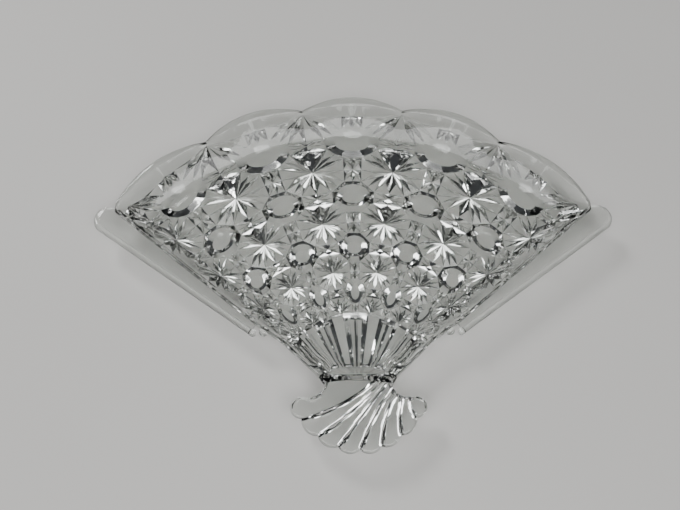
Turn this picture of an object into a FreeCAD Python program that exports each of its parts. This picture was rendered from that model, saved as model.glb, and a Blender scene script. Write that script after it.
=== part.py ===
import FreeCAD, Part
import math
import os
import Sketcher
from FreeCAD import Placement, Rotation, Vector

# A fan-shaped dish, pressed in clear glass in one piece, with a shell tab at the fan's hinge.
# +Z is up and +Y runs from the tab to the scalloped back. The pattern is moulded underneath,
# and the dish rests on the faces of its buttons, at Z = 0. Lengths are millimetres.
# Everything fans out from one point, the apex, which lies on the Y axis near the tab.
# "along" and "out" measure along a side ray of the fan and square to it, away from the fan.

SIZES = {
    # heights of the faces
    "relief_deep": 2.0,
    "plate_thick": 4.0,
    "lip_bottom": 13.8,
    "rim_height": 16.0,
    # the fan
    "fan_step": 20.5,
    "side_ray": 50.3,
    "back_reach": 143.4,
    "far_reach": 143.2,
    "valley_reach": 137.5,
    "corner_reach": 139.5,
    "back_wall_reach": 131.0,
    "floor_reach": 127.0,
    "neck_reach": 37.0,
    "rim_wide": 3.8,
    # the side walls, measured square to the side ray
    "side_foot_out": -1.0,
    "side_floor_out": 1.5,
    "side_rim_out": 7.0,
    "side_inner_out": -4.5,
    "side_end": 137.0,
    "side_end_slant": 0.6,
    "bend_along": 52.0,
    "waist_along": 28.0,
    "waist_shift": -2.1,
    "hinge_along": 12.0,
    "hinge_shift": 1.4,
    # the guards
    "guard_start": 51.0,
    "guard_start_wide": 3.4,
    "guard_end_wide": 9.9,
    "guard_end": 142.0,
    "guard_round_along": 0.6,
    "bead_thick": 3.0,
    "knob_thick": 4.0,
    # the neck
    "front_arc_reach": 11.0,
    "front_along": 16.0,
    "front_top_reach": 5.0,
    "stick_start": 14.5,
    "stick_end": 36.0,
    "stick_wide": 11.0,
    "stick_deep": 1.4,
    "rib_wide": 2.4,
    "rib_deep": 1.8,
    # the shell tab
    "tab_reach": 27.5,
    "tab_bottom": 13.0,
    "lobe_bottom": 11.0,
}

# Reach of each row of buttons, and the outline and flat of one: half widths across and along
BUTTON_ROWS = [
    (125.0, 13.6, 6.0, 8.6, 4.0),
    (95.3, 8.0, 5.4, 5.3, 3.3),
    (69.0, 5.9, 5.3, 3.4, 3.1),
    (46.9, 4.0, 5.7, 1.9, 3.2),
]
BUTTON_COLUMNS = [-2, -1, 0, 1, 2]
STAR_COLUMNS = [-1, 0, 1]

# Reach of each row of large daisies, with its half widths across and along
DAISY_ROWS = [
    (109.9, 16.5, 10.5),
    (82.0, 12.4, 9.6),
    (57.1, 8.3, 7.8),
    (43.0, 4.0, 4.0),
]
DAISY_COLUMNS = [-1.5, -0.5, 0.5, 1.5]
DAISY_PETALS = 16
DAISY_DEEP = 1.4
STAR_PETALS = 8
STAR_DEEP = 0.9
STAR_PER_DAISY = 0.24
NOTCH = 0.68

# Columns of the neck's ribs, how far apart they stand, and how narrow a bar is at its foot
RIB_COLUMNS = [-1, 0, 1]
RIB_OFFSETS = [-0.16, 0.0, 0.16]
BAR_FOOT_SHARE = 0.5

# How much of the front wall's slope lies below the lip, and where a guard's end is rounded
FRONT_LIP_SHARE = 0.78
GUARD_ROUND_SHARE = 0.72
GUARD_FLAT_SHARE = 0.15

# Outline of the shell tab on the right: each lobe's end and the notch after it
NECK_CORNER = (13.2, 4.6)
NECK_CURVE = (15.2, -1.2)
EAR_TOP = (21.5, -3.2)
LOBE_ENDS = [(29.1, -7.6), (22.7, -17.7), (13.9, -23.8), (4.4, -27.5)]
NOTCHES = [(24.0, -12.8), (17.3, -20.5), (8.9, -24.6), (0.0, -25.8)]
LOBE_HUB = (13.0, 0.5)

# How far a lobe reaches from the hub, at its near end, its corners and its tip
LOBE_NEAR, LOBE_CORNER, LOBE_TIP = 0.4, 0.9, 0.93
LOBE_TOP_SHARE, LOBE_FOOT_SHARE = 0.94, 0.45

LEFT = -1
RIGHT = 1


def make_sheet(doc):
    """One cell for each driving size."""
    sheet = doc.addObject("Spreadsheet::Sheet", "Sizes")
    for row, (name, value) in enumerate(SIZES.items(), start=1):
        sheet.set("A%d" % row, name)
        sheet.set("B%d" % row, str(value))
        sheet.setAlias("B%d" % row, name)
    doc.recompute()
    return sheet


doc = FreeCAD.newDocument("fan_dish")
sheet = make_sheet(doc)


def size(name):
    return float(sheet.get(name))


APEX = Placement(Vector(0, -(size("back_reach") - size("tab_reach")) / 2, 0), Rotation())
FLOOR_TOP = size("relief_deep") + size("plate_thick")
SIDE_RAY = math.radians(size("side_ray"))
HALF_STEP = size("fan_step") / 2


# ---- points, wires and simple solids -----------------------------------------------------

def polar(reach, angle, z=0.0):
    """The point at a reach from the apex, angle degrees round from +Y towards +X."""
    turn = math.radians(angle)
    return Vector(reach * math.sin(turn), reach * math.cos(turn), z)


def beside(hand, along, out, z=0.0):
    """The point measured along a side ray and square to it."""
    x = along * math.sin(SIDE_RAY) + out * math.cos(SIDE_RAY)
    y = along * math.cos(SIDE_RAY) - out * math.sin(SIDE_RAY)
    return Vector(hand * x, y, z)


def angle_beside(reach, out):
    """The angle of the point at a reach from the apex that lies out of the side ray."""
    return size("side_ray") + math.degrees(math.asin(out / reach))


def fraction(low, high, share):
    return low + (high - low) * share


def closed_wire(points):
    return Part.makePolygon(points + points[:1])


def arc(first, middle, last):
    return Part.Arc(first, middle, last).toShape()


def line(first, last):
    return Part.LineSegment(first, last).toShape()


def loft(wires):
    return Part.makeLoft(wires, True, True)


def boss(outline, top, bottom, shrink_across, shrink_along):
    """A flat-faced boss under a plate: a polygon about its centre, shrinking downwards."""
    centre, turn, points = outline
    wires = []
    for z, across, along in ((top, 1.0, 1.0), (bottom, shrink_across, shrink_along)):
        corners = [placed(centre, turn, x * across, y * along, z) for x, y in points]
        wires.append(closed_wire(corners))
    return loft(wires)


def placed(centre, turn, across, along, z):
    """A point across and along from a centre, on axes turned with the fan."""
    angle = math.radians(turn)
    x = centre.x + across * math.cos(angle) + along * math.sin(angle)
    y = centre.y - across * math.sin(angle) + along * math.cos(angle)
    return Vector(x, y, z)


def octagon(half_across, half_along):
    corner = math.tan(math.pi / 8)
    quarter = [(half_across * corner, half_along), (half_across, half_along * corner)]
    points = quarter + [(x, -y) for x, y in reversed(quarter)]
    return points + [(-x, -y) for x, y in points]


def star(petals, half_across, half_along):
    points = []
    for corner in range(2 * petals):
        turn = math.pi * corner / petals
        reach = 1.0 if corner % 2 == 0 else NOTCH
        points.append((reach * half_across * math.sin(turn), reach * half_along * math.cos(turn)))
    return points


def faceted_star(reach, angle, petals, half_across, half_along, deep):
    """A pointed star of facets that hangs under the plate."""
    centre = polar(reach, angle)
    top = size("relief_deep")
    corners = [placed(centre, angle, x, y, top) for x, y in star(petals, half_across, half_along)]
    tip = Part.Vertex(Vector(centre.x, centre.y, top - deep))
    return loft([closed_wire(corners), tip])


# ---- document objects --------------------------------------------------------------------

def add_feature(name, shape):
    feature = doc.addObject("Part::Feature", name)
    feature.Label = name
    feature.Shape = shape
    feature.Placement = APEX
    return feature


def add_padded_body(name, edges, bottom, thick):
    """A body of one sketch, given as its edges in order, padded up from a height."""
    body = doc.addObject("PartDesign::Body", name)
    body.Label = name
    plane = [part for part in body.Origin.OriginFeatures if part.Role == "XY_Plane"][0]
    sketch = body.newObject("Sketcher::SketchObject", name + "_outline")
    sketch.AttachmentSupport = [(plane, "")]
    sketch.MapMode = "FlatFace"
    sketch.setExpression(".AttachmentOffset.Base.z", bottom)
    for edge in edges:
        sketch.addGeometry(edge, False)
    for index in range(len(edges)):
        following = (index + 1) % len(edges)
        sketch.addConstraint(join(sketch, index, following))
    pad = body.newObject("PartDesign::Pad", name + "_pad")
    pad.Profile = sketch
    pad.setExpression("Length", thick)
    body.Tip = pad
    body.Placement = APEX
    return body


def join(sketch, first, second):
    """A coincidence between the nearest ends of two neighbouring edges of a sketch."""
    best = None
    for end in (1, 2):
        for start in (1, 2):
            gap = (sketch.getPoint(first, end) - sketch.getPoint(second, start)).Length
            if best is None or gap < best[0]:
                best = (gap, end, start)
    return Sketcher.Constraint("Coincident", first, best[1], second, best[2])


# ---- the sloping walls -------------------------------------------------------------------

def side_shift(along):
    """How far out a side wall stands at a place along it, next to its straight run."""
    bend, waist, hinge = size("bend_along"), size("waist_along"), size("hinge_along")
    if along >= bend:
        return 0.0
    if along >= waist:
        return fraction(0.0, size("waist_shift"), (bend - along) / (bend - waist))
    return fraction(size("waist_shift"), size("hinge_shift"), (waist - along) / (waist - hinge))


def side_levels():
    """Height of each level of a side wall, with its outer and inner face there."""
    inner_top = size("side_rim_out") - size("rim_wide")
    lip_share = (size("lip_bottom") - FLOOR_TOP) / (size("rim_height") - FLOOR_TOP)
    inner_lip = fraction(size("side_inner_out"), inner_top, lip_share)
    return [
        (size("relief_deep"), size("side_foot_out"), size("side_inner_out")),
        (FLOOR_TOP, size("side_floor_out"), size("side_inner_out")),
        (size("lip_bottom"), size("side_rim_out"), inner_lip),
        (size("rim_height"), size("side_rim_out"), inner_top),
    ]


def back_levels(top_reach):
    """Height of each level of the back wall, with its outer and inner reach there."""
    lip_share = (size("lip_bottom") - FLOOR_TOP) / (size("rim_height") - FLOOR_TOP)
    foot_share = size("plate_thick") / (size("lip_bottom") - size("relief_deep"))
    inner_top = top_reach - size("rim_wide")
    return [
        (size("relief_deep"), size("back_wall_reach"), size("floor_reach")),
        (FLOOR_TOP, fraction(size("back_wall_reach"), top_reach, foot_share), size("floor_reach")),
        (size("lip_bottom"), top_reach, fraction(size("floor_reach"), inner_top, lip_share)),
        (size("rim_height"), top_reach, inner_top),
    ]


def wall_along_side(hand, places, end_slant):
    """A side wall through places along the side ray; its far end is slanted by end_slant."""
    wires = []
    for z, outer, inner in side_levels():
        lean = (z - size("rim_height")) * end_slant
        outer_row = []
        inner_row = []
        for along in places:
            last = along == places[-1]
            reach = along + (lean if last else 0.0)
            outer_row.append(beside(hand, reach, outer + side_shift(along), z))
            inner_row.append(beside(hand, reach, inner + side_shift(along), z))
        wires.append(closed_wire(outer_row + inner_row[::-1]))
    return loft(wires)


def scallop_wire(level, start, middle, end, z):
    """One scallop of the back wall at a level: outer arc, end, inner arc, end."""
    outer = [polar(reach, angle, z) for (reach, _), angle in zip(level, (start, middle, end[0]))]
    inner = [polar(reach, angle, z) for (_, reach), angle in zip(level, (start, middle, end[1]))]
    return Part.Wire([
        arc(*outer),
        line(outer[2], inner[2]),
        arc(*inner[::-1]),
        line(inner[0], outer[0]),
    ])


def scallop_wires(column):
    """The wires of one scallop, whose middle lies on a fan ray, at the wall's four levels."""
    hand = LEFT if column < 0 else RIGHT
    outermost = abs(column) == 2
    top_reach = size("far_reach") if outermost else size("back_reach")
    end_reach = size("corner_reach") if outermost else size("valley_reach")
    start = hand * (abs(column) * size("fan_step") - HALF_STEP)
    middle = column * size("fan_step")
    near_end = hand * (abs(column) * size("fan_step") + HALF_STEP)
    rows = zip(back_levels(size("valley_reach")), back_levels(top_reach), back_levels(end_reach))
    wires = []
    for (low, high, last), side in zip(rows, side_levels()):
        end = (near_end, near_end)
        if outermost:
            end = tuple(hand * angle_beside(reach, side[2]) for reach in last[1:])
        wires.append(scallop_wire((low[1:], high[1:], last[1:]), start, middle, end, low[0]))
    return wires


def make_back_wall():
    names = {-2: "far_left", -1: "left", 0: "middle", 1: "right", 2: "far_right"}
    for column, name in names.items():
        wires = scallop_wires(column)
        add_feature("scallop_" + name, loft(wires[:3]))
        add_feature("rim_" + name, loft(wires[2:]))


def make_side_walls():
    neck = size("neck_reach")
    for hand, name in ((LEFT, "left"), (RIGHT, "right")):
        run = [neck, size("bend_along"), size("side_end")]
        add_feature("side_wall_" + name, wall_along_side(hand, run, size("side_end_slant")))
        cheek = [size("hinge_along"), size("waist_along"), neck]
        add_feature("neck_cheek_" + name, wall_along_side(hand, cheek, 0.0))


# ---- the floor and the neck --------------------------------------------------------------

def inner_face(hand, along):
    """The foot of a side wall's inner face."""
    return beside(hand, along, size("side_inner_out") + side_shift(along))


def neck_border(hand):
    """Where the border between neck and floor meets a side wall."""
    along = size("neck_reach")
    return inner_face(hand, along)


def make_floor():
    """The flat floor of the fan, out to the walls."""
    reach = size("floor_reach")
    corner = angle_beside(reach, size("side_inner_out"))
    ends = [polar(reach, -corner), polar(reach, corner)]
    neck = [neck_border(LEFT), neck_border(RIGHT)]
    bends = [inner_face(hand, size("bend_along")) for hand in (LEFT, RIGHT)]
    edges = [
        Part.Arc(ends[0], polar(reach, 0), ends[1]),
        Part.LineSegment(ends[1], bends[1]),
        Part.LineSegment(bends[1], neck[1]),
        Part.Arc(neck[1], polar(size("neck_reach"), 0), neck[0]),
        Part.LineSegment(neck[0], bends[0]),
        Part.LineSegment(bends[0], ends[0]),
    ]
    add_padded_body("floor_plate", edges, "Sizes.relief_deep", "Sizes.plate_thick")


def make_neck_plate():
    """The floor of the neck, from the fan's floor to the front wall."""
    neck = [neck_border(LEFT), neck_border(RIGHT)]
    waist = [inner_face(hand, size("waist_along")) for hand in (LEFT, RIGHT)]
    front = [inner_face(hand, size("front_along")) for hand in (LEFT, RIGHT)]
    edges = [
        Part.Arc(neck[0], polar(size("neck_reach"), 0), neck[1]),
        Part.LineSegment(neck[1], waist[1]),
        Part.LineSegment(waist[1], front[1]),
        Part.Arc(front[1], polar(size("front_arc_reach"), 0), front[0]),
        Part.LineSegment(front[0], waist[0]),
        Part.LineSegment(waist[0], neck[0]),
    ]
    add_padded_body("neck_plate", edges, "Sizes.relief_deep", "Sizes.plate_thick")


def make_front_wall():
    """The wall that rises from the neck's floor to the tab."""
    foot, top = size("front_arc_reach"), size("front_top_reach")
    reaches = [foot, foot, fraction(foot, top, FRONT_LIP_SHARE), top]
    wires = []
    for (z, _, inner), reach in zip(side_levels(), reaches):
        back = [beside(hand, size("front_along"), inner + side_shift(size("front_along")), z)
                for hand in (LEFT, RIGHT)]
        hinge = [beside(hand, size("hinge_along"), inner + size("hinge_shift"), z)
                 for hand in (LEFT, RIGHT)]
        wires.append(Part.Wire([
            arc(back[0], polar(reach, 0, z), back[1]),
            line(back[1], hinge[1]),
            line(hinge[1], hinge[0]),
            line(hinge[0], back[0]),
        ]))
    add_feature("front_wall", loft(wires))


def radial_bar(angle, start, end, half_start, half_end, deep):
    """A bar under the neck's floor, lying along a fan ray, with sloping flanks."""
    top = size("relief_deep")
    wires = []
    for z, narrow in ((top, 1.0), (top - deep, BAR_FOOT_SHARE)):
        corners = [
            placed(polar(start, angle), angle, -half_start * narrow, 0, z),
            placed(polar(end, angle), angle, -half_end * narrow, 0, z),
            placed(polar(end, angle), angle, half_end * narrow, 0, z),
            placed(polar(start, angle), angle, half_start * narrow, 0, z),
        ]
        wires.append(closed_wire(corners))
    return loft(wires)


def make_neck_pleats():
    """The fan's sticks: four wide ones, with three narrow ribs in each gap between them."""
    start, end = size("stick_start"), size("stick_end")
    taper = start / end
    sticks = []
    ribs = []
    for column in DAISY_COLUMNS:
        half = size("stick_wide") / 4
        sticks.append(radial_bar(column * size("fan_step"), start, end, half * taper, half,
                                 size("stick_deep")))
    for column in RIB_COLUMNS:
        for offset in RIB_OFFSETS:
            angle = (column + offset) * size("fan_step")
            half = size("rib_wide") / 4
            ribs.append(radial_bar(angle, start, end, half * taper, half, size("rib_deep")))
    add_feature("fan_sticks", Part.makeCompound(sticks))
    add_feature("fan_ribs", Part.makeCompound(ribs))


# ---- guards ------------------------------------------------------------------------------

def guard_points(hand):
    """The corners of a guard: near end, outer edge, rounded far end, and the fan's corner."""
    rim, wide = size("side_rim_out"), size("guard_end_wide")
    start, end = size("guard_start"), size("guard_end")
    near_along = start - size("guard_start_wide")
    near = beside(hand, start, rim + size("guard_start_wide"))
    far = beside(hand, size("side_end"), rim + wide)
    round_top = beside(hand, end - size("guard_round_along"), rim + GUARD_ROUND_SHARE * wide)
    flat_top = beside(hand, end, rim + GUARD_FLAT_SHARE * wide)
    inner_far = beside(hand, size("side_end"), rim)
    inner_near = beside(hand, near_along, rim + side_shift(near_along))
    return near, far, round_top, flat_top, inner_far, inner_near


def make_guards():
    """A flat blade outside each side wall, with a bead on its edge and a knob at its end."""
    for hand, name in ((LEFT, "left"), (RIGHT, "right")):
        near, far, round_top, flat_top, inner_far, inner_near = guard_points(hand)
        bend = beside(hand, size("bend_along"), size("side_rim_out"))
        edges = [
            Part.LineSegment(near, far),
            Part.Arc(far, round_top, flat_top),
            Part.LineSegment(flat_top, inner_far),
            Part.LineSegment(inner_far, bend),
            Part.LineSegment(bend, inner_near),
            Part.LineSegment(inner_near, near),
        ]
        add_padded_body("guard_blade_" + name, edges, "Sizes.lip_bottom",
                        "Sizes.rim_height - Sizes.lip_bottom")
        make_bead("guard_bead_" + name, near, far)
        make_knob("guard_knob_" + name, hand, inner_near)


def make_bead(name, near, far):
    """The rounded bead along a guard's outer edge, hanging from the blade."""
    run = far - near
    height = size("lip_bottom") - size("bead_thick") / 2
    bead = doc.addObject("Part::Cylinder", name)
    bead.Label = name
    bead.setExpression("Radius", "Sizes.bead_thick / 2")
    bead.Height = run.Length
    place = Vector(near.x, near.y, height)
    bead.Placement = APEX.multiply(Placement(place, Rotation(Vector(0, 0, 1), run)))


def make_knob(name, hand, corner):
    """The small round step where a guard ends on the side wall."""
    knob = doc.addObject("Part::Sphere", name)
    knob.Label = name
    knob.setExpression("Radius", "Sizes.knob_thick / 2")
    clear = beside(hand, 0, size("knob_thick") / 4)
    place = Vector(corner.x, corner.y, size("lip_bottom") - size("knob_thick") / 2) + clear
    knob.Placement = APEX.multiply(Placement(place, Rotation()))


# ---- the moulded pattern -----------------------------------------------------------------

def make_buttons():
    """Rows of eight-sided buttons, whose flats the dish rests on."""
    for row, (reach, across, along, flat_across, flat_along) in enumerate(BUTTON_ROWS, start=1):
        buttons = []
        for column in BUTTON_COLUMNS:
            angle = column * size("fan_step")
            outline = (polar(reach, angle), angle, octagon(across, along))
            buttons.append(boss(outline, size("relief_deep"), 0.0,
                                flat_across / across, flat_along / along))
        add_feature("button_row_%d" % row, Part.makeCompound(buttons))


def make_daisies():
    """Rows of large daisies between the buttons, and the small stars in the gaps."""
    stars = []
    for row, (reach, across, along) in enumerate(DAISY_ROWS, start=1):
        daisies = []
        for column in DAISY_COLUMNS:
            angle = column * size("fan_step")
            daisies.append(faceted_star(reach, angle, DAISY_PETALS, across, along, DAISY_DEEP))
        add_feature("daisy_row_%d" % row, Part.makeCompound(daisies))
    for row, (reach, across, along) in enumerate(DAISY_ROWS[:3]):
        small = (STAR_PETALS, across * STAR_PER_DAISY, along * STAR_PER_DAISY, STAR_DEEP)
        for column in STAR_COLUMNS:
            stars.append(faceted_star(reach, column * size("fan_step"), *small))
        for column in DAISY_COLUMNS:
            stars.append(faceted_star(BUTTON_ROWS[row][0], column * size("fan_step"), *small))
    add_feature("small_stars", Part.makeCompound(stars))


# ---- the shell tab -----------------------------------------------------------------------

def tab_point(hand, place):
    return Vector(hand * place[0], place[1], 0)


def make_tab():
    """The shell-shaped tab: a flat plate level with the rim, and the lobes under it."""
    edges = []
    for hand in (RIGHT, LEFT):
        half = [Part.Arc(tab_point(hand, NECK_CORNER), tab_point(hand, NECK_CURVE),
                         tab_point(hand, EAR_TOP))]
        before = EAR_TOP
        for lobe_end, notch in zip(LOBE_ENDS, NOTCHES):
            half.append(Part.Arc(tab_point(hand, before), tab_point(hand, lobe_end),
                                 tab_point(hand, notch)))
            before = notch
        edges += half if hand == RIGHT else half[::-1]
    edges.append(Part.LineSegment(tab_point(LEFT, NECK_CORNER), tab_point(RIGHT, NECK_CORNER)))
    blank = add_padded_body("tab_blank", edges, "Sizes.tab_bottom",
                            "Sizes.rim_height - Sizes.tab_bottom")
    neck = doc.addObject("Part::MultiFuse", "neck_walls")
    neck.Shapes = [doc.getObject(name) for name in
                   ("front_wall", "neck_cheek_left", "neck_cheek_right")]
    plate = doc.addObject("Part::Cut", "tab_plate")
    plate.Label = "tab_plate"
    plate.Base = blank
    plate.Tool = neck


def make_lobes():
    """Eight lobes that fan out from the right corner of the neck, under the tab."""
    hub = tab_point(RIGHT, LOBE_HUB)
    right = list(zip([EAR_TOP] + NOTCHES[:-1], LOBE_ENDS, NOTCHES))
    corners = [[tab_point(RIGHT, place) for place in lobe] for lobe in right]
    corners += [[tab_point(LEFT, place) for place in lobe] for lobe in right]
    lobes = []
    for before, lobe_end, notch in corners:
        outline = [
            hub + (before - hub) * LOBE_NEAR,
            hub + (before - hub) * LOBE_CORNER,
            hub + (lobe_end - hub) * LOBE_TIP,
            hub + (notch - hub) * LOBE_CORNER,
            hub + (notch - hub) * LOBE_NEAR,
        ]
        lobes.append(lobe_solid(outline))
    add_feature("tab_lobes", Part.makeCompound(lobes))


def lobe_solid(outline):
    """One lobe: its outline under the plate, shrunk about its middle lower down."""
    centre = sum(outline, Vector()) * (1.0 / len(outline))
    wires = []
    for z, shrink in ((size("tab_bottom"), LOBE_TOP_SHARE), (size("lobe_bottom"), LOBE_FOOT_SHARE)):
        points = [centre + (point - centre) * shrink for point in outline]
        wires.append(closed_wire([Vector(point.x, point.y, z) for point in points]))
    return loft(wires)


# ---- checking and writing ----------------------------------------------------------------

HELPERS = ("tab_blank", "neck_walls")


def sub_parts():
    """The objects that are sub-parts, without the helpers that they are made from."""
    kinds = ("PartDesign::Body", "Part::Feature", "Part::Cut", "Part::Cylinder", "Part::Sphere")
    return [item for item in doc.Objects if item.TypeId in kinds and item.Label not in HELPERS]


def write_parts():
    doc.recompute()
    for item in doc.Objects:
        if "Invalid" in item.State or "Error" in item.State:
            raise RuntimeError("%s did not compute: %s" % (item.Label, item.State))
    for item in sub_parts():
        if item.Shape.isNull() or not item.Shape.isValid():
            raise RuntimeError(item.Label + " has no valid shape")
    os.makedirs("parts", exist_ok=True)
    for item in sub_parts():
        item.Shape.exportStep("parts/%s.step" % item.Label)


make_back_wall()
make_side_walls()
make_floor()
make_neck_plate()
make_front_wall()
make_neck_pleats()
make_guards()
make_buttons()
make_daisies()
make_tab()
make_lobes()
write_parts()
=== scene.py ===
import math

import bmesh
import bpy
from mathutils import Matrix, Vector


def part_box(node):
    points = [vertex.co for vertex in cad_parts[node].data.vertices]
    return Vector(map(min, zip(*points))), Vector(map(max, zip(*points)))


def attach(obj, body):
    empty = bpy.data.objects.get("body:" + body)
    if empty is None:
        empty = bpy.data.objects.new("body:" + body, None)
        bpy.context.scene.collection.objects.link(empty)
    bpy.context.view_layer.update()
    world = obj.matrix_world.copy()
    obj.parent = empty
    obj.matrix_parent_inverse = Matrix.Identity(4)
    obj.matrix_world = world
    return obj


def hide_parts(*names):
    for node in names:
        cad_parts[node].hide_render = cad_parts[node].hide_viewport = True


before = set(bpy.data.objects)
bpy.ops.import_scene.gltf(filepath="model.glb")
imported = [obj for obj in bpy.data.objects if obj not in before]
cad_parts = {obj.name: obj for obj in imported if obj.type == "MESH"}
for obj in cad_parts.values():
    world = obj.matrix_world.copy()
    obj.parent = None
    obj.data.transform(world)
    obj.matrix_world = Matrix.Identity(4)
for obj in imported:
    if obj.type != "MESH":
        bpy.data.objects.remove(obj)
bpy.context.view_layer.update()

# A fan-shaped dish of clear pressed glass, moulded in one piece. Its shape is worked out in
# millimetres about the fan's apex, then scaled to metres and moved to the frame.
# The pattern is laid out on a flat sheet first, in fan steps across and rows along: even
# places hold buttons, odd places hold daisies, and mixed places hold small stars.

MM = 0.001

# ---- heights and reaches -----------------------------------------------------------------

RIM_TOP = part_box("rim_middle")[1].z / MM
LIP_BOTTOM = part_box("rim_middle")[0].z / MM
FLOOR_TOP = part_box("floor_plate")[1].z / MM
TAB_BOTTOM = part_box("tab_plate")[0].z / MM
LOBE_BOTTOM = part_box("tab_lobes")[0].z / MM
BACK_REACH = 143.4
APEX_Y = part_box("rim_middle")[1].y / MM - BACK_REACH

STEP_ANGLE = 10.25
FOOT_STEP_ANGLE = 10.85
SIDE_RAY = math.radians(50.3)
VALLEY_REACH = 137.6
FAR_VALLEY_REACH = 139.6
SCALLOP_RISE = 5.8
FAR_SCALLOP_RISE = 4.5
WALL_TOP_REACH = 136.9
WALL_START_REACH = 129.0
LAST_RAY = 4
FOOT_COLUMN = 5
RIM_COLUMN = 6
LAST_SCALLOP = 2
ROW_REACHES = [125.0, 109.9, 95.3, 82.0, 69.0, 57.1, 46.9, 37.4]
BACK_ROW = -1
OUTLINE_ROW = -1.3
NECK_ROW = 7
FRONT_ROW = 8
HINGE_ROW = 9

# the side walls, measured along the fan's side ray and out from it
SIDE_FOOT_OUT = -1.6
RIM_OUT = 7.0
CORNER = (139.5, 3.75)
CORNER_SIDE = (137.0, 7.0)
CORNER_INNER = (136.2, 0.6)
CORNER_RIM = (134.5, 7.0)
BEND_ALONG, WAIST_ALONG, HINGE_ALONG = 52.0, 28.0, 12.1
WAIST_SHIFT, HINGE_SHIFT = -2.1, 1.4
FRONT_END = (17.0, 3.0)
FRONT_MIDDLE = 13.3

# the smooth well
WELL_REACH = 124.0
WELL_OUT = -6.5
WELL_CORNER_ROUND = 4.0
WELL_FRONT_ALONG = 17.0
WELL_FRONT_MIDDLE = 11.5
# rings over the rounded rim, as distance in from the outline and height
RIM_RINGS = [(0.0, 14.5), (0.2, 15.2), (0.65, 15.72), (1.3, 15.96), (2.0, RIM_TOP),
             (2.8, 15.9), (3.5, 15.55), (4.0, 14.9)]
RIM_CUTS = 3
# how wide the rim is, as a share of those rings
RIM_MIDDLE_WIDE = 1.3
RIM_VALLEY_WIDE = 0.45
RIM_FRONT_WIDE = 1.2
WALL_RINGS = 12
FLOOR_RINGS = 1
WALL_CURVE = 1.6

# the moulded pattern
SHEET_CELLS = 16
SHEET_MIDDLE_ROW = 3
SHEET_HALF_ROWS = 5.6
SHEET_HALF_COLUMNS = RIM_COLUMN + 1.6
STAR_HALF = 0.33
SIDE_STAR = (0.22, 0.42)
LEVEL_STAR = (0.42, 0.22)
BORDER_DEEP = 0.5
DAISY_DEEP = 1.1
STAR_DEEP = 0.9
RING_DEEP = 3.1
PEAK_DEEP = 0.1
PEAK_PLACE = 0.58
NOTCH_SLOPE = 1.35
NOTCH_MOST = 3.1
INSET = 0.03
# how the relief shrinks with the rows, and fades out up the walls
RELIEF_POWER = 0.6
RING_POWER = 0.4
FADE_POWER = 5
SIDE_WALL_COLUMN = 4.9
# distances that count as none
NEAR = 0.001
TINY = 0.0001
# each row's button: half width of its outline and of its flat, across and along, in steps
BUTTONS = {
    0: (0.61, 0.61, 0.38, 0.31),
    2: (0.48, 0.42, 0.31, 0.24),
    4: (0.48, 0.43, 0.28, 0.25),
    6: (0.48, 0.60, 0.23, 0.37),
}

# ---- places on the dish ------------------------------------------------------------------


def blend(first, second, share):
    return first + (second - first) * share


def clamp(value):
    return min(1.0, max(0.0, value))


def polar(reach, angle):
    turn = math.radians(angle)
    return Vector((reach * math.sin(turn), reach * math.cos(turn)))


def beside(hand, along, out):
    """The place measured along the side ray of one hand and out from it."""
    x = along * math.sin(SIDE_RAY) + out * math.cos(SIDE_RAY)
    y = along * math.cos(SIDE_RAY) - out * math.sin(SIDE_RAY)
    return Vector((hand * x, y))


def hand_of(across):
    return -1 if across < 0 else 1


def side_shift(along):
    """How far the side wall stands out past its straight run."""
    if along >= BEND_ALONG:
        return 0.0
    if along >= WAIST_ALONG:
        return WAIST_SHIFT * (BEND_ALONG - along) / (BEND_ALONG - WAIST_ALONG)
    return blend(WAIST_SHIFT, HINGE_SHIFT, (WAIST_ALONG - along) / (WAIST_ALONG - HINGE_ALONG))


def row_reach(row):
    low = min(int(row), NECK_ROW - 1)
    return blend(ROW_REACHES[low], ROW_REACHES[low + 1], row - low)


def outline_reach(across):
    """The reach of the scalloped outline."""
    column = abs(across)
    scallop = min(LAST_SCALLOP, int((column + 1) / 2))
    offset = min(1.0, column - 2 * scallop)
    if scallop < LAST_SCALLOP:
        return VALLEY_REACH + SCALLOP_RISE * (1 - offset * offset)
    low = blend(VALLEY_REACH, FAR_VALLEY_REACH, (offset + 1) / 2)
    return low + FAR_SCALLOP_RISE * (1 - offset * offset)


def band_share(across):
    """How wide the rim is: full in the middle of a scallop, and narrow in a valley."""
    column = abs(across)
    if column > FOOT_COLUMN:
        return RIM_VALLEY_WIDE
    offset = column - 2 * min(LAST_SCALLOP, int((column + 1) / 2))
    return blend(RIM_MIDDLE_WIDE, RIM_VALLEY_WIDE, min(1.0, offset * offset))


def outline(across):
    """A place on the back outline, from scallop to corner."""
    column, hand = abs(across), hand_of(across)
    if column <= LAST_RAY:
        return polar(outline_reach(across), across * STEP_ANGLE)
    if column <= FOOT_COLUMN:
        angle = LAST_RAY * STEP_ANGLE + (column - LAST_RAY) * FOOT_STEP_ANGLE
        return polar(outline_reach(across), hand * angle)
    return blend(beside(hand, *CORNER), beside(hand, *CORNER_SIDE), column - FOOT_COLUMN)


def ray_place(across, row):
    """A place on one of the fan's inner rays."""
    if row >= 0:
        return polar(row_reach(row), across * STEP_ANGLE)
    return polar(blend(ROW_REACHES[0], WALL_TOP_REACH, -row), across * STEP_ANGLE)


def foot_place(hand, row):
    """A place at the foot of a side wall, level with a row."""
    if row >= 0:
        reach = row_reach(row)
        return beside(hand, math.sqrt(reach ** 2 - SIDE_FOOT_OUT ** 2), SIDE_FOOT_OUT)
    return blend(foot_place(hand, 0), beside(hand, *CORNER_INNER), -row)


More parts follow.
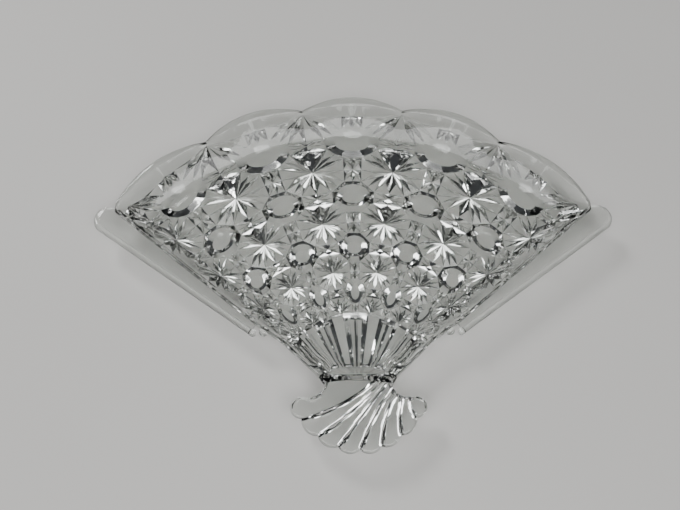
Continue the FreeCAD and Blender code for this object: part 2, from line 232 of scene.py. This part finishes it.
def rim_place(hand, row):
    """A place on the outline above a side wall, level with a row."""
    if row >= 0:
        along = row_reach(row)
        return beside(hand, along, RIM_OUT + side_shift(along))
    return blend(rim_place(hand, 0), beside(hand, *CORNER_RIM), -row)


def front_place(across):
    """A place on the curved line where the pleats end."""
    column, hand = abs(across), hand_of(across)
    end = beside(1, *FRONT_END)
    if column > FOOT_COLUMN:
        along = FRONT_END[0]
        rim = beside(hand, along, RIM_OUT + side_shift(along))
        return blend(Vector((hand * end.x, end.y)), rim, column - FOOT_COLUMN)
    share = across / FOOT_COLUMN
    return Vector((share * end.x, blend(FRONT_MIDDLE, end.y, share * share)))


def hinge_place(across):
    """A place on the straight line where the fan meets the tab."""
    end = beside(1, HINGE_ALONG, RIM_OUT + HINGE_SHIFT)
    return Vector((end.x * across / RIM_COLUMN, end.y))


def plan(across, row):
    """The plan place of a point on the pattern sheet."""
    column, hand = abs(across), hand_of(across)
    if row < BACK_ROW:
        share = (BACK_ROW - row) / (BACK_ROW - OUTLINE_ROW)
        return blend(plan(across, BACK_ROW), outline(across), share)
    if row > FRONT_ROW:
        return blend(front_place(across), hinge_place(across), row - FRONT_ROW)
    if row > NECK_ROW:
        return blend(plan(across, NECK_ROW), front_place(across), row - NECK_ROW)
    if column <= LAST_RAY:
        return ray_place(across, row)
    foot = foot_place(hand, row)
    if column <= FOOT_COLUMN:
        return blend(ray_place(hand * LAST_RAY, row), foot, column - LAST_RAY)
    return blend(foot, rim_place(hand, row), column - FOOT_COLUMN)


def wall_share(across, row):
    """How far up a wall a point of the pattern sheet lies: 0 on the floor, 1 at the rim."""
    side = clamp((abs(across) - SIDE_WALL_COLUMN) / (RIM_COLUMN - SIDE_WALL_COLUMN))
    front = clamp(row - FRONT_ROW)
    back = 0.0
    if row < 0:
        low, high = WALL_START_REACH, outline(across).length
        back = clamp((plan(across, row).length - low) / (high - low))
    return max(side, back, front)


def relief_scale(row):
    """The pattern grows shallower towards the neck, where it is finer."""
    return (row_reach(min(max(row, 0), NECK_ROW)) / ROW_REACHES[0]) ** RELIEF_POWER


def underside(across, row, deep):
    """The finished place of a point of the pattern sheet."""
    share = wall_share(across, row)
    height = LIP_BOTTOM * share + deep * (1 + share) * (1 - share ** FADE_POWER)
    place = plan(across, row)
    return Vector((place.x, place.y, height))


def well_foot(across, row):
    """Where the wall above an outline point meets the floor of the well."""
    column, hand = abs(across), hand_of(across)
    inner_reach = WELL_REACH - WELL_CORNER_ROUND
    inner_out = WELL_OUT - WELL_CORNER_ROUND
    round_along = math.sqrt(inner_reach ** 2 - inner_out ** 2)
    round_angle = math.degrees(SIDE_RAY + math.asin(inner_out / inner_reach))
    if row < BACK_ROW:
        if column <= FOOT_COLUMN:
            return polar(WELL_REACH, across / FOOT_COLUMN * round_angle)
        turn = blend(round_angle, math.degrees(SIDE_RAY) + 90, column - FOOT_COLUMN)
        return beside(hand, round_along, inner_out) + polar(WELL_CORNER_ROUND, hand * turn)
    front = beside(1, WELL_FRONT_ALONG, WELL_OUT + HINGE_SHIFT)
    if row > HINGE_ROW - NEAR:
        share = across / RIM_COLUMN
        return Vector((share * front.x, blend(WELL_FRONT_MIDDLE, front.y, share * share)))
    along = side_along(plan(across, row))
    if along > BEND_ALONG:
        scale = (round_along - BEND_ALONG) / (CORNER_SIDE[0] - BEND_ALONG)
    else:
        scale = (BEND_ALONG - WELL_FRONT_ALONG) / (BEND_ALONG - HINGE_ALONG)
    well_along = BEND_ALONG + (along - BEND_ALONG) * scale
    return beside(hand, well_along, WELL_OUT + side_shift(along))


def side_along(place):
    return abs(place.x) * math.sin(SIDE_RAY) + place.y * math.cos(SIDE_RAY)


# ---- the moulded pattern -----------------------------------------------------------------


def pattern_sheet():
    """Flat sheet of cells: eight-sided ones for buttons and daisies, squares for small stars."""
    sheet = bmesh.new()
    bmesh.ops.create_grid(sheet, x_segments=SHEET_CELLS, y_segments=SHEET_CELLS,
                          size=SHEET_CELLS * math.sqrt(0.5))
    bmesh.ops.rotate(sheet, verts=sheet.verts[:], matrix=Matrix.Rotation(math.pi / 4, 3, "Z"))
    bmesh.ops.translate(sheet, verts=sheet.verts[:], vec=(0, SHEET_MIDDLE_ROW, 0))
    outside = [face for face in sheet.faces if is_outside(face.calc_center_median())]
    bmesh.ops.delete(sheet, geom=outside, context="FACES")
    bmesh.ops.bevel(sheet, geom=sheet.verts[:], offset=STAR_HALF * math.sqrt(2),
                    offset_type="OFFSET", affect="VERTICES", segments=1, profile=0.5,
                    material=-1)
    return sheet


def is_outside(centre):
    off_side = abs(centre.x) > SHEET_HALF_COLUMNS
    return off_side or abs(centre.y - SHEET_MIDDLE_ROW) > SHEET_HALF_ROWS


def site_of(face):
    centre = face.calc_center_bounds()
    return round(centre.x), round(centre.y)


def shape_cells(sheet, deep):
    """Sizes the stars, then cuts the petals and raises the buttons between them."""
    buttons, daisies, stars = [], [], []
    for face in sheet.faces[:]:
        column, row = site_of(face)
        if column % 2 == 0 and row % 2 == 0:
            buttons.append((face, column, row))
        elif column % 2 and row % 2:
            daisies.append((face, column, row))
        else:
            stars.append((face, column, row))
    for face, column, row in stars:
        across, along = LEVEL_STAR if row % 2 == 0 else SIDE_STAR
        resize(sheet, face.verts[:], (column, row), across / STAR_HALF, along / STAR_HALF)
    bmesh.ops.bisect_edges(sheet, edges=sheet.edges[:], cuts=1)
    for vert in sheet.verts:
        vert[deep] = BORDER_DEEP * relief_scale(vert.co.y)
    for face, column, row in daisies:
        cut_petals(sheet, face, (column, row), deep, DAISY_DEEP)
    for face, column, row in stars:
        cut_petals(sheet, face, (column, row), deep, STAR_DEEP)
    for face, column, row in buttons:
        if row in BUTTONS and abs(column) < RIM_COLUMN:
            raise_button(sheet, face, (column, row), deep)


def resize(sheet, verts, site, across, along):
    centre = Matrix.Translation((-site[0], -site[1], 0))
    bmesh.ops.scale(sheet, vec=(across, along, 1), space=centre, verts=verts)


def cut_petals(sheet, face, site, deep, middle_deep):
    """A rosette of roof-shaped petals, one to each corner, with grooves between them."""
    middle = Vector((site[0], site[1], 0))
    scale = relief_scale(site[1])
    wedges = bmesh.ops.poke(sheet, faces=[face])
    centre = wedges["verts"][0]
    centre.co = middle
    centre[deep] = middle_deep * scale
    for edge in centre.link_edges[:]:
        peak = bmesh.utils.edge_split(edge, centre, PEAK_PLACE)[1]
        peak[deep] = PEAK_DEEP
    grooves = bmesh.ops.poke(sheet, faces=centre.link_faces[:])
    for vert in grooves["verts"]:
        peaks = [edge.other_vert(vert) for edge in vert.link_edges]
        peaks = [plan(*peak.co.xy) for peak in peaks if abs(peak[deep] - PEAK_DEEP) < NEAR]
        gap = (peaks[0] - peaks[1]).length / 2
        vert[deep] = PEAK_DEEP + min(NOTCH_MOST * scale, NOTCH_SLOPE * gap)


def raise_button(sheet, face, site, deep):
    """A flat button inside bevels, with a groove round them."""
    across, along, flat_across, flat_along = BUTTONS[site[1]]
    for half_across, half_along, depth in ((across, along, RING_DEEP),
                                           (flat_across, flat_along, 0.0)):
        bmesh.ops.inset_individual(sheet, faces=[face], thickness=INSET, depth=0)
        shape_ring(face.verts[:], site, half_across, half_along)
        for vert in face.verts:
            vert[deep] = depth * relief_scale(site[1]) ** RING_POWER


def shape_ring(verts, site, half_across, half_along):
    """Spreads a ring of corners evenly round an eight-sided outline."""
    middle = Vector((site[0], site[1], 0))
    for vert in verts:
        turn = math.atan2(vert.co.y - middle.y, vert.co.x - middle.x)
        spot = Vector((math.cos(turn), math.sin(turn), 0))
        vert.co = middle + Vector((spot.x * half_across, spot.y * half_along, 0))


def trim(sheet, place, outward):
    geometry = sheet.verts[:] + sheet.edges[:] + sheet.faces[:]
    bmesh.ops.bisect_plane(sheet, geom=geometry, dist=TINY, plane_co=place,
                           plane_no=outward, clear_outer=True)


# ---- the pleated neck --------------------------------------------------------------------

# flat faces of the sticks on one side, as start, end and depth; sharp ribs lie in between
STICKS = [(0.14, 0.44, 2.6), (0.90, 1.68, 0.5), (2.04, 2.28, 2.6), (2.52, 2.84, 2.6),
          (3.10, 3.58, 0.5), (3.78, 3.94, 1.4), (4.12, 4.30, 1.4), (4.55, 4.90, 0.6),
          (5.25, 5.55, 0.9)]
RIB_RISE = 0.6
SEAM_ROW = 7.02
BORDER_ROW = 7.06
PLEAT_ROWS = [SEAM_ROW, BORDER_ROW, 7.17, 7.45, 7.75, FRONT_ROW, 8.2, 8.5, 8.75, HINGE_ROW]
FRONT_DEEP = 1.2
FRONT_FADE = 3
BORDER_DEEPS = {SEAM_ROW: FRONT_DEEP, BORDER_ROW: 0.0}


def pleat_profile():
    """Places across the neck with their depth: flat sticks, and sharp ribs in between."""
    places = [(0.0, STICKS[0][2] - RIB_RISE)]
    for number, (start, end, depth) in enumerate(STICKS):
        before = STICKS[number - 1]
        if number and depth == before[2]:
            places.append(((before[1] + start) / 2, depth - RIB_RISE))
        places += [(start, depth), (end, depth)]
    places.append((RIM_COLUMN, STICKS[0][2]))
    return [(-place, depth) for place, depth in places[:0:-1]] + places


def add_pleats(sheet, deep):
    """The neck, from the border line of the pattern to the hinge."""
    profile = pleat_profile()
    columns = len(profile)
    made = bmesh.ops.create_grid(sheet, x_segments=columns - 1,
                                 y_segments=len(PLEAT_ROWS) - 1, size=1)
    for index, vert in enumerate(made["verts"]):
        row = PLEAT_ROWS[index // columns]
        across, depth = profile[index % columns]
        vert.co = (across, row, 0)
        vert[deep] = BORDER_DEEPS.get(row, depth)
        if row > FRONT_ROW:
            vert[deep] = FRONT_DEEP * max(0.0, 1 - FRONT_FADE * (row - FRONT_ROW))


def edges_on_row(sheet, row):
    return [edge for edge in sheet.edges if edge.is_boundary
            and all(abs(vert.co.y - row) < NEAR for vert in edge.verts)]


def join_neck(sheet):
    """Fills the narrow strip between the pattern and the neck."""
    upper = edges_on_row(sheet, NECK_ROW)
    lower = edges_on_row(sheet, SEAM_ROW)
    ends = []
    for edges in (upper, lower):
        verts = {vert for edge in edges for vert in edge.verts}
        ends.append((min(verts, key=lambda vert: vert.co.x),
                     max(verts, key=lambda vert: vert.co.x)))
    loop = upper + lower
    for above, below in zip(*ends):
        loop.append(sheet.edges.new((above, below)))
    strip = bmesh.ops.edgeloop_fill(sheet, edges=loop)
    bmesh.ops.triangulate(sheet, faces=strip["faces"])


# ---- the glass of the fan ----------------------------------------------------------------


def add_rim_strip(sheet):
    """The plain strip between the pattern and the scalloped outline."""
    bmesh.ops.bisect_edges(sheet, edges=edges_on_row(sheet, BACK_ROW), cuts=RIM_CUTS)
    strip = bmesh.ops.extrude_edge_only(sheet, edges=edges_on_row(sheet, BACK_ROW))
    for vert in strip["geom"]:
        if isinstance(vert, bmesh.types.BMVert):
            vert.co.y = OUTLINE_ROW


def fan_glass():
    """The fan as one closed piece: moulded underside, smooth well and rounded rim."""
    sheet = pattern_sheet()
    deep = sheet.verts.layers.float.new("deep")
    shape_cells(sheet, deep)
    trim(sheet, (0, BACK_ROW, 0), (0, -1, 0))
    trim(sheet, (0, NECK_ROW, 0), (0, 1, 0))
    trim(sheet, (RIM_COLUMN, 0, 0), (1, 0, 0))
    trim(sheet, (-RIM_COLUMN, 0, 0), (-1, 0, 0))
    add_rim_strip(sheet)
    add_pleats(sheet, deep)
    join_neck(sheet)
    bmesh.ops.triangulate(sheet, faces=[face for face in sheet.faces if len(face.verts) > 4])
    moulded = len(sheet.faces)
    raise_well(sheet, deep)
    bmesh.ops.recalc_face_normals(sheet, faces=sheet.faces[:])
    sheet.faces.index_update()
    for face in sheet.faces:
        face.smooth = face.index >= moulded and len(face.verts) == 4
    return sheet


def raise_well(sheet, deep):
    """Bends the sheet to the underside, then builds rings up over the rim into the well."""
    outline_edges = [edge for edge in sheet.edges if edge.is_boundary]
    places = {}
    for edge in outline_edges:
        for vert in edge.verts:
            places[vert] = (vert.co.x, vert.co.y)
    for vert in sheet.verts:
        vert.co = underside(vert.co.x, vert.co.y, vert[deep])
    ring, edges = places, outline_edges
    for step in range(len(RIM_RINGS) + WALL_RINGS + FLOOR_RINGS):
        made = bmesh.ops.extrude_edge_only(sheet, edges=edges)["geom"]
        edges = [item for item in made if isinstance(item, bmesh.types.BMEdge)
                 and item.is_boundary]
        fresh = [item for item in made if isinstance(item, bmesh.types.BMVert)]
        ring = follow(fresh, ring)
        for vert, place in ring.items():
            vert.co = well_place(place, step)
    bmesh.ops.edgeloop_fill(sheet, edges=edges)


def follow(fresh, ring):
    """Gives each vertex of a new ring the sheet place of the one that it came from."""
    found = {}
    for vert in fresh:
        for edge in vert.link_edges:
            other = edge.other_vert(vert)
            if other in ring:
                found[vert] = ring[other]
    return found


def well_place(place, step):
    start = plan(*place)
    inward = well_foot(*place) - start
    wide = band_share(place[0]) if place[1] < FRONT_ROW else RIM_FRONT_WIDE
    if step < len(RIM_RINGS):
        inset, height = RIM_RINGS[step]
        spot = start + inward.normalized() * inset * wide
        return Vector((spot.x, spot.y, height))
    last_inset, last_height = RIM_RINGS[-1]
    last_inset *= wide
    share = (step + 1 - len(RIM_RINGS)) / WALL_RINGS
    inset = blend(last_inset, inward.length, share)
    spot = start + inward.normalized() * inset
    height = FLOOR_TOP + (last_height - FLOOR_TOP) * max(0.0, 1 - share) ** WALL_CURVE
    return Vector((spot.x, spot.y, height))


# ---- the guards --------------------------------------------------------------------------

GUARD_BOTTOM, GUARD_TOP = 13.7, 15.3
GUARD_NEAR = (51.0, 10.4)
GUARD_FAR = (137.0, 16.9)
GUARD_BEND = (141.4, 14.1)
GUARD_END = (142.0, 8.5)
GUARD_CORNER = (137.3, 4.6)
GUARD_INNER_OUT = 6.0
GUARD_ROOT_ALONG = 47.6
RIM_CLEAR = 0.5
GUARD_STEPS = 8
GUARD_EDGE_ROUND = 0.7
BEAD_RADIUS = 1.4
BEAD_TAPER = 0.09
BEAD_HEIGHT = 14.55
# the knobs: place along and out from the side ray, radius and height
BEAD_KNOB = (50.7, 10.2, 1.75, 13.9)
WALL_KNOB = (47.2, 6.8, 2.0, 13.6)


def circle_through(first, middle, last):
    """The centre of the circle through three plan places."""
    a, b = middle - first, last - first
    cross = 2 * (a.x * b.y - a.y * b.x)
    square_a, square_b = a.length_squared, b.length_squared
    offset = Vector((b.y * square_a - a.y * square_b, a.x * square_b - b.x * square_a))
    return first + offset / cross


def arc_place(first, middle, last, share):
    """A place on the arc from first through middle to last."""
    centre = circle_through(first, middle, last)
    start = first - centre
    turn = sweep(start, middle - centre) + sweep(middle - centre, last - centre)
    return centre + Matrix.Rotation(turn * share, 2) @ start


def sweep(start, end):
    return math.atan2(start.x * end.y - start.y * end.x, start.dot(end))


def guard_blade(hand):
    """A flat blade outside a side wall, round at its far end."""
    sheet = bmesh.new()
    root = (GUARD_ROOT_ALONG, GUARD_INNER_OUT + side_shift(GUARD_ROOT_ALONG))
    corners = [beside(hand, *place) for place in (GUARD_NEAR, GUARD_FAR)]
    arc = [beside(hand, *place) for place in (GUARD_FAR, GUARD_BEND, GUARD_END)]
    corners += [arc_place(*arc, step / GUARD_STEPS) for step in range(1, GUARD_STEPS + 1)]
    corners += [beside(hand, *place) for place in
                (GUARD_CORNER, (BEND_ALONG, GUARD_INNER_OUT), root)]
    verts = [sheet.verts.new((place.x, place.y, GUARD_BOTTOM)) for place in corners]
    face = bmesh.ops.contextual_create(sheet, geom=verts)["faces"]
    risen = bmesh.ops.extrude_face_region(sheet, geom=face)["geom"]
    top = [item for item in risen if isinstance(item, bmesh.types.BMVert)]
    bmesh.ops.translate(sheet, verts=top, vec=(0, 0, GUARD_TOP - GUARD_BOTTOM))
    bmesh.ops.recalc_face_normals(sheet, faces=sheet.faces[:])
    rounded = [edge for edge in sheet.edges if is_guard_rim(edge, hand)]
    bmesh.ops.bevel(sheet, geom=rounded, offset=GUARD_EDGE_ROUND, offset_type="OFFSET",
                    affect="EDGES", segments=3, profile=0.5, material=-1)
    return sheet


def is_guard_rim(edge, hand):
    """True for the level edges of the blade's outer side and its round far end."""
    first, second = (vert.co for vert in edge.verts)
    if abs(first.z - second.z) > NEAR:
        return False
    middle = (first + second) / 2
    out = abs(middle.x) * math.cos(SIDE_RAY) - middle.y * math.sin(SIDE_RAY)
    return out > RIM_OUT + RIM_CLEAR


def guard_bead(hand):
    """The rounded bead along the blade's outer edge."""
    line = bpy.data.curves.new("bead_line", "CURVE")
    line.dimensions = "3D"
    line.bevel_depth = 1
    line.bevel_resolution = 5
    line.use_fill_caps = True
    places = [(beside(hand, *place), 1.0) for place in (GUARD_NEAR, GUARD_FAR)]
    arc = [beside(hand, *place) for place in (GUARD_FAR, GUARD_BEND, GUARD_END)]
    places += [(arc_place(*arc, step / GUARD_STEPS), 1.0 - BEAD_TAPER * step)
               for step in range(1, GUARD_STEPS)]
    spline = line.splines.new("POLY")
    spline.points.add(len(places) - 1)
    for point, (place, share) in zip(spline.points, places):
        point.co = (place.x, place.y, BEAD_HEIGHT, 1)
        point.radius = BEAD_RADIUS * share
    return curve_sheet(line)


def curve_sheet(line):
    """The mesh of a curve, with its own object and data removed."""
    holder = bpy.data.objects.new("holder", line)
    bpy.context.scene.collection.objects.link(holder)
    depsgraph = bpy.context.evaluated_depsgraph_get()
    mesh = bpy.data.meshes.new_from_object(holder.evaluated_get(depsgraph))
    sheet = bmesh.new()
    sheet.from_mesh(mesh)
    bmesh.ops.remove_doubles(sheet, verts=sheet.verts[:], dist=TINY)
    bmesh.ops.recalc_face_normals(sheet, faces=sheet.faces[:])
    bpy.data.objects.remove(holder)
    bpy.data.curves.remove(line)
    bpy.data.meshes.remove(mesh)
    return sheet


def ball(hand, along, out, radius, height):
    place = beside(hand, along, out)
    sheet = bmesh.new()
    bmesh.ops.create_uvsphere(sheet, u_segments=20, v_segments=12, radius=radius)
    bmesh.ops.translate(sheet, verts=sheet.verts[:], vec=(place.x, place.y, height))
    return sheet


def guard_knobs(hand):
    """The two small round steps where a guard ends on the side wall."""
    return [ball(hand, *BEAD_KNOB), ball(hand, *WALL_KNOB)]


# ---- the shell tab -----------------------------------------------------------------------

# grooves of the shell, from the left edge round to the right ear: start, middle and end
GROOVES = [
    ((-14.0, 4.8), (-15.7, -1.2), (-22.3, -4.2)),
    ((9.5, 4.8), (-7.0, -6.6), (-24.1, -12.8)),
    ((12.3, 4.8), (-2.9, -9.6), (-17.3, -20.0)),
    ((14.0, 4.8), (1.2, -11.5), (-8.9, -24.5)),
    ((14.7, -0.4), (5.9, -13.0), (0.0, -25.8)),
    ((16.3, -2.6), (11.4, -12.0), (9.1, -24.6)),
    ((18.8, -4.0), (17.0, -11.0), (17.4, -20.2)),
    ((22.3, -4.2), (21.9, -8.8), (24.1, -12.8)),
]
EAR = (22.3, -4.2)
TIPS = [(-28.7, -7.5), (-22.4, -17.8), (-13.6, -24.3), (-4.5, -27.4), (4.5, -27.4),
        (13.6, -24.3), (22.4, -17.8), (28.7, -7.5)]
LOBE_STEPS = 12
GROOVE_STEPS = 24
ROW_CROWD = 1.5
TIP_BULGE = 4
GROOVE_HEIGHT = TAB_BOTTOM + 0.3
FLANK_WIDE = 1.5
TAB_TOP = 15.98
TAB_EDGE_ROUND = 1.0


def groove_place(number, share):
    if number == len(GROOVES):
        return Vector(EAR)
    return arc_place(*(Vector(place) for place in GROOVES[number]), share)


def lobe_place(number, across, share):
    """A place on a lobe: across it from groove to groove, and out from the neck to its tip."""
    first, last = groove_place(number, share), groove_place(number + 1, share)
    ends = groove_place(number, 1.0), groove_place(number + 1, 1.0)
    tip = arc_place(ends[0], Vector(TIPS[number]), ends[1], across)
    bulge = tip - blend(*ends, across)
    return blend(first, last, across) + bulge * share ** TIP_BULGE


def lobe_height(number, across, share):
    """Lobes hang down between the grooves, flat underneath with rounded flanks."""
    here = lobe_place(number, across, share)
    gaps = [(here - groove_place(number + side, share)).length for side in (0, 1)]
    gaps.append((here - lobe_place(number, across, 1.0)).length)
    gaps.append((here - lobe_place(number, across, 0.0)).length)
    near = clamp(min(gaps) / FLANK_WIDE)
    return GROOVE_HEIGHT - (GROOVE_HEIGHT - LOBE_BOTTOM) * (1 - (1 - near) ** 2)


def tab_shares():
    """Where the rows across the lobes lie: closer together near the tips."""
    return [1 - (1 - step / GROOVE_STEPS) ** ROW_CROWD for step in range(GROOVE_STEPS + 1)]


def tab_glass():
    """The shell tab as one closed piece: lobes underneath and a flat top with rounded edges."""
    sheet = bmesh.new()
    lobes = len(GROOVES)
    columns = lobes * LOBE_STEPS + 1
    made = bmesh.ops.create_grid(sheet, x_segments=columns - 1, y_segments=GROOVE_STEPS, size=1)
    shares = tab_shares()
    for index, vert in enumerate(made["verts"]):
        column, share = index % columns, shares[index // columns]
        number = min(column // LOBE_STEPS, lobes - 1)
        across = column / LOBE_STEPS - number
        place = lobe_place(number, across, share)
        vert.co = (place.x, place.y, lobe_height(number, across, share))
    bmesh.ops.remove_doubles(sheet, verts=sheet.verts[:], dist=NEAR)
    rim = [edge for edge in sheet.edges if edge.is_boundary]
    risen = bmesh.ops.extrude_edge_only(sheet, edges=rim)["geom"]
    for item in risen:
        if isinstance(item, bmesh.types.BMVert):
            item.co.z = TAB_TOP
    edges = [item for item in risen if isinstance(item, bmesh.types.BMEdge)
             and item.is_boundary]
    bmesh.ops.edgeloop_fill(sheet, edges=edges)
    bmesh.ops.recalc_face_normals(sheet, faces=sheet.faces[:])
    bmesh.ops.bevel(sheet, geom=edges, offset=TAB_EDGE_ROUND, offset_type="OFFSET",
                    affect="EDGES", segments=4, profile=0.5, material=-1)
    return sheet


# ---- pieces of mesh ----------------------------------------------------------------------

SHARP_ANGLE = math.radians(25)
MOST_SMOOTH_CORNERS = 8
MERGE_GAP = 0.003
SLIVER = 0.002


def place_in_frame(sheet):
    bmesh.ops.translate(sheet, verts=sheet.verts[:], vec=(0, APEX_Y, 0))
    bmesh.ops.scale(sheet, vec=(MM, MM, MM), verts=sheet.verts[:])


def smooth(sheet):
    """Shades a piece smooth, apart from its large flat faces."""
    for face in sheet.faces:
        face.smooth = len(face.verts) <= MOST_SMOOTH_CORNERS
    return sheet


def make_object(name, sheet):
    mesh = bpy.data.meshes.new(name)
    sheet.to_mesh(mesh)
    sheet.free()
    piece = bpy.data.objects.new(name, mesh)
    bpy.context.scene.collection.objects.link(piece)
    return piece


def fuse(piece, sheet):
    """Joins a closed piece of glass to another so that no wall is left between them."""
    tool = make_object("tool", sheet)
    cut = piece.modifiers.new("fuse", "BOOLEAN")
    cut.operation = "UNION"
    cut.solver = "EXACT"
    cut.object = tool
    depsgraph = bpy.context.evaluated_depsgraph_get()
    fused = bpy.data.meshes.new_from_object(piece.evaluated_get(depsgraph))
    piece.modifiers.clear()
    piece.data = fused
    bpy.data.objects.remove(tool)


def clean(sheet):
    """Clears what joining leaves behind: doubled points, slivers, pinholes and loose edges."""
    bmesh.ops.remove_doubles(sheet, verts=sheet.verts[:], dist=MERGE_GAP)
    bmesh.ops.dissolve_degenerate(sheet, edges=sheet.edges[:], dist=SLIVER)
    pinholes = [edge for edge in sheet.edges if edge.is_boundary]
    bmesh.ops.holes_fill(sheet, edges=pinholes, sides=4)
    loose = [edge for edge in sheet.edges if not edge.link_faces]
    bmesh.ops.delete(sheet, geom=loose, context="EDGES")


def make_dish():
    dish = make_object("fan_dish", fan_glass())
    parts = [tab_glass()]
    for hand in (-1, 1):
        parts += [guard_blade(hand), guard_bead(hand)] + guard_knobs(hand)
    for part in parts:
        fuse(dish, smooth(part))
    sheet = bmesh.new()
    sheet.from_mesh(dish.data)
    clean(sheet)
    place_in_frame(sheet)
    sheet.to_mesh(dish.data)
    sheet.free()
    dish.data.name = "fan_dish"
    dish.data.set_sharp_from_angle(angle=SHARP_ANGLE)
    return dish


# ---- glass -------------------------------------------------------------------------------

RIPPLE_SCALE = 110.0
GRAIN_SCALE = 700.0
GRAIN_SHARE = 0.12
RIPPLE_DEPTH = 0.0006
GLASS_IOR = 1.52


class Socket:
    """A node socket that builds Math nodes from ordinary arithmetic."""

    def __init__(self, tree, link):
        self.tree = tree
        self.link = link

    def math(self, operation, *values):
        return self.tree.node("ShaderNodeMath", {"operation": operation}, dict(enumerate(values)))

    def __add__(self, other):
        return self.math("ADD", self, other)

    __radd__ = __add__

    def __mul__(self, other):
        return self.math("MULTIPLY", self, other)

    __rmul__ = __mul__


class Finish:
    """A material whose nodes are added by one method."""

    def __init__(self, name):
        self.material = bpy.data.materials.new(name)
        self.material.use_nodes = True
        self.nodes = self.material.node_tree.nodes
        self.links = self.material.node_tree.links
        self.nodes.clear()

    def node(self, kind, settings=None, values=None, output=0):
        made = self.nodes.new(kind)
        for name, setting in (settings or {}).items():
            setattr(made, name, setting)
        for name, value in (values or {}).items():
            if isinstance(value, Socket):
                self.links.new(value.link, made.inputs[name])
            else:
                made.inputs[name].default_value = value
        return Socket(self, made.outputs[output]) if made.outputs else None


def clear_glass():
    """Clear glass with a faint uneven tint and ripple; its shadow is soft and not black."""
    finish = Finish("clear_glass")
    place = finish.node("ShaderNodeTexCoord", output="Object")
    ripple = finish.node("ShaderNodeTexNoise",
                         values={"Vector": place, "Scale": RIPPLE_SCALE, "Detail": 2.0})
    grain = finish.node("ShaderNodeTexNoise",
                        values={"Vector": place, "Scale": GRAIN_SCALE, "Detail": 3.0})
    bump = finish.node("ShaderNodeBump", values={
        "Height": ripple + grain * GRAIN_SHARE, "Strength": 0.25, "Distance": RIPPLE_DEPTH})
    tint = finish.node("ShaderNodeMix", {"data_type": "RGBA"}, {
        "Factor": ripple, "A": (0.90, 0.925, 0.90, 1), "B": (0.96, 0.97, 0.955, 1)}, output=2)
    glass = finish.node("ShaderNodeBsdfPrincipled", values={
        "Base Color": tint, "Roughness": 0.02, "IOR": GLASS_IOR, "Transmission Weight": 1.0,
        "Normal": bump})
    path = finish.node("ShaderNodeLightPath", output="Is Shadow Ray")
    shadow = finish.node("ShaderNodeBsdfTransparent", values={"Color": (0.12, 0.125, 0.12, 1)})
    surface = finish.node("ShaderNodeMixShader", values={0: path, 1: glass, 2: shadow})
    finish.node("ShaderNodeOutputMaterial", values={"Surface": surface})
    return finish.material


def pale_floor():
    finish = Finish("pale_floor")
    place = finish.node("ShaderNodeTexCoord", output="Object")
    mottle = finish.node("ShaderNodeTexNoise",
                         values={"Vector": place, "Scale": 6.0, "Detail": 3.0})
    tint = finish.node("ShaderNodeMix", {"data_type": "RGBA"}, {
        "Factor": mottle, "A": (0.60, 0.59, 0.57, 1), "B": (0.64, 0.63, 0.61, 1)}, output=2)
    surface = finish.node("ShaderNodeBsdfPrincipled",
                          values={"Base Color": tint, "Roughness": 0.6})
    finish.node("ShaderNodeOutputMaterial", values={"Surface": surface})
    return finish.material


# ---- the studio --------------------------------------------------------------------------

FLOOR_HALF = 0.9
# just under the dish, so that the two faces never coincide
FLOOR_HEIGHT = -0.0003
SENSOR_WIDE = 36
WORLD_COLOR = (0.05, 0.052, 0.055, 1)
# each lamp's place, size and power
LAMPS = {
    "top_softbox": ((0.0, -0.65, 1.3), (1.5, 1.0), 22),
    "key_softbox": ((-0.7, 0.8, 1.0), (0.35, 0.35), 8),
}
CAMERA_TILT = math.radians(68.03)
CAMERA_TURN = math.radians(3.5)
CAMERA_ROLL = math.radians(2.93)
CAMERA_AWAY = 376.2
CAMERA_LENS = 42.35
CAMERA_TARGET = Vector((-6.65, 66.29, 0.0))


def make_floor():
    sheet = bmesh.new()
    bmesh.ops.create_grid(sheet, x_segments=4, y_segments=4, size=FLOOR_HALF)
    bmesh.ops.translate(sheet, verts=sheet.verts[:], vec=(0, 0, FLOOR_HEIGHT))
    floor = make_object("studio_floor", sheet)
    floor.data.materials.append(pale_floor())


def aim(thing, place, target, roll=0.0):
    """Places a camera or lamp at a point, looking at another, in metres."""
    forward = (target - place).normalized()
    turn = forward.to_track_quat("-Z", "Y").to_matrix().to_4x4()
    thing.matrix_world = Matrix.Translation(place) @ turn @ Matrix.Rotation(roll, 4, "Z")


def make_camera():
    data = bpy.data.cameras.new("view")
    data.lens = CAMERA_LENS
    data.sensor_width = SENSOR_WIDE
    camera = bpy.data.objects.new("view", data)
    bpy.context.scene.collection.objects.link(camera)
    forward = Vector((math.cos(CAMERA_TILT) * math.sin(CAMERA_TURN),
                      math.cos(CAMERA_TILT) * math.cos(CAMERA_TURN), -math.sin(CAMERA_TILT)))
    target = (CAMERA_TARGET + Vector((0, APEX_Y, 0))) * MM
    aim(camera, target - forward * CAMERA_AWAY * MM, target, CAMERA_ROLL)
    bpy.context.scene.camera = camera


def make_lamp(name, place, size, power):
    data = bpy.data.lights.new(name, "AREA")
    data.shape = "RECTANGLE"
    data.size, data.size_y = size
    data.energy = power
    lamp = bpy.data.objects.new(name, data)
    bpy.context.scene.collection.objects.link(lamp)
    aim(lamp, Vector(place), Vector((0, 0, 0)))


def make_lights():
    world = bpy.data.worlds.new("studio")
    bpy.context.scene.world = world
    world.use_nodes = True
    backdrop = world.node_tree.nodes["Background"]
    backdrop.inputs["Color"].default_value = WORLD_COLOR
    backdrop.inputs["Strength"].default_value = 1.0
    for name, (place, size, power) in LAMPS.items():
        make_lamp(name, place, size, power)


dish = make_dish()
dish.data.materials.clear()
dish.data.materials.append(clear_glass())
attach(dish, "root")
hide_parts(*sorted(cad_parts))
make_floor()
make_camera()
make_lights()
